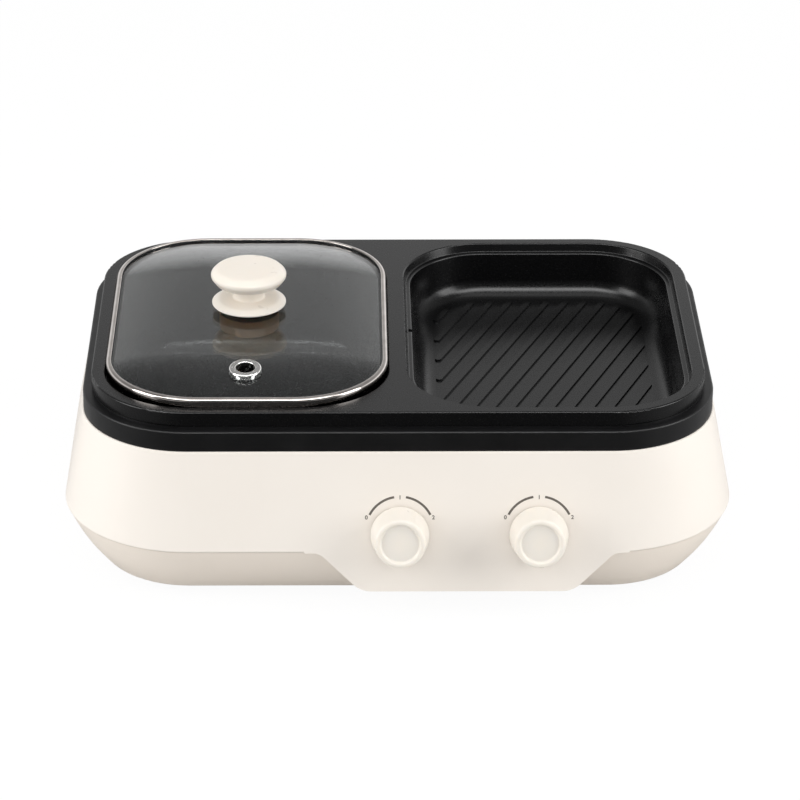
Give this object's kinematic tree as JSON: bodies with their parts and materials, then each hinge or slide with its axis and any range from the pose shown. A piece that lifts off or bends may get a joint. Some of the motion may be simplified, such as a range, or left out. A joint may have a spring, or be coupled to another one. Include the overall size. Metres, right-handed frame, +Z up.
{
  "type": "electric hot pot with lid",
  "caption": "Electric hot pot and grill: lift-off cast tray with a deep pot and a ribbed grill, a lift-off glass lid, and a cream housing with turning heat knobs.",
  "frame": {"origin": "middle of the ground that the object covers, knobs included, on the plane its feet stand on", "axes": "+Z up; +X to the right and +Y away from someone facing the control knobs"},
  "size_m": [0.4106, 0.3104, 0.164],
  "materials": {
    "cream_shell": "smooth satin moulded polypropylene",
    "cream_knob": "smooth satin moulded plastic",
    "black_ring": "fine-grained black moulding",
    "nonstick_cast": "matt black speckled non-stick coating on cast aluminium",
    "lid_glass": "clear tempered glass with a slight grey tint",
    "stainless": "polished stainless steel",
    "silicone": "soft matt silicone",
    "inner_seat": "brown heat-proof moulding",
    "foot_rubber": "matt rubber",
    "zinc_steel": "bright zinc-plated steel",
    "element_sheath": "dull annealed steel tube",
    "reflector_sheet": "bright rolled aluminium",
    "phenolic": "dark brown phenolic",
    "ceramic_white": "matt white ceramic",
    "brass": "plain brass",
    "inlet_black": "black moulded plastic"
  },
  "bodies": {
    "base": {"block_screws": "zinc_steel", "bottom_shell": "cream_shell", "element_pins": "zinc_steel", "feet": "foot_rubber", "inlet_blades": "brass", "inlet_screws": "zinc_steel", "left_element": "element_sheath", "left_element_straps": "zinc_steel", "left_fuse_clamp": "zinc_steel", "left_reflector": "reflector_sheet", "left_thermal_fuse": "ceramic_white", "left_thermostat": "phenolic", "left_thermostat_plate": "zinc_steel", "power_inlet": "inlet_black", "reflector_screws": "zinc_steel", "right_element": "element_sheath", "right_element_straps": "zinc_steel", "right_fuse_clamp": "zinc_steel", "right_reflector": "reflector_sheet", "right_thermal_fuse": "ceramic_white", "right_thermostat": "phenolic", "right_thermostat_plate": "zinc_steel", "ring_screws": "zinc_steel", "shell_screws": "zinc_steel", "support_ring": "black_ring", "terminal_block": "ceramic_white", "thermostat_screws": "zinc_steel", "thermostat_tabs": "brass", "upper_shell": "cream_shell"},
    "tray": {"pan_tray": "nonstick_cast"},
    "lid": {"lid_glass": "lid_glass", "lid_rim": "stainless", "lid_seal": "silicone", "vent_grommet": "stainless", "lid_knob_washer": "silicone", "lid_knob_base": "cream_knob", "lid_knob_cap": "cream_knob", "lid_inner_washer": "inner_seat", "lid_knob_screw": "zinc_steel"},
    "left_control": {"left_knob": "cream_knob", "left_shaft": "zinc_steel", "left_knob_clip": "zinc_steel"},
    "right_control": {"right_knob": "cream_knob", "right_shaft": "zinc_steel", "right_knob_clip": "zinc_steel"}
  },
  "joints": [
    {"name": "tray_lift", "type": "slide", "parent": "base", "child": "tray", "axis": [0, 0, 1], "range_m": [0, 0.12]},
    {"name": "lid_lift", "type": "slide", "parent": "tray", "child": "lid", "axis": [0, 0, 1], "range_m": [0, 0.1]},
    {"name": "left_knob_turn", "type": "hinge", "parent": "base", "child": "left_control", "pos_m": [0.0004, -0.13229, 0.05236], "axis": [0, -0.9803, 0.1976], "range_deg": [-84, 36]},
    {"name": "right_knob_turn", "type": "hinge", "parent": "base", "child": "right_control", "pos_m": [0.0835, -0.13229, 0.05236], "axis": [0, -0.9803, 0.1976], "range_deg": [-33, 87]}
  ]
}
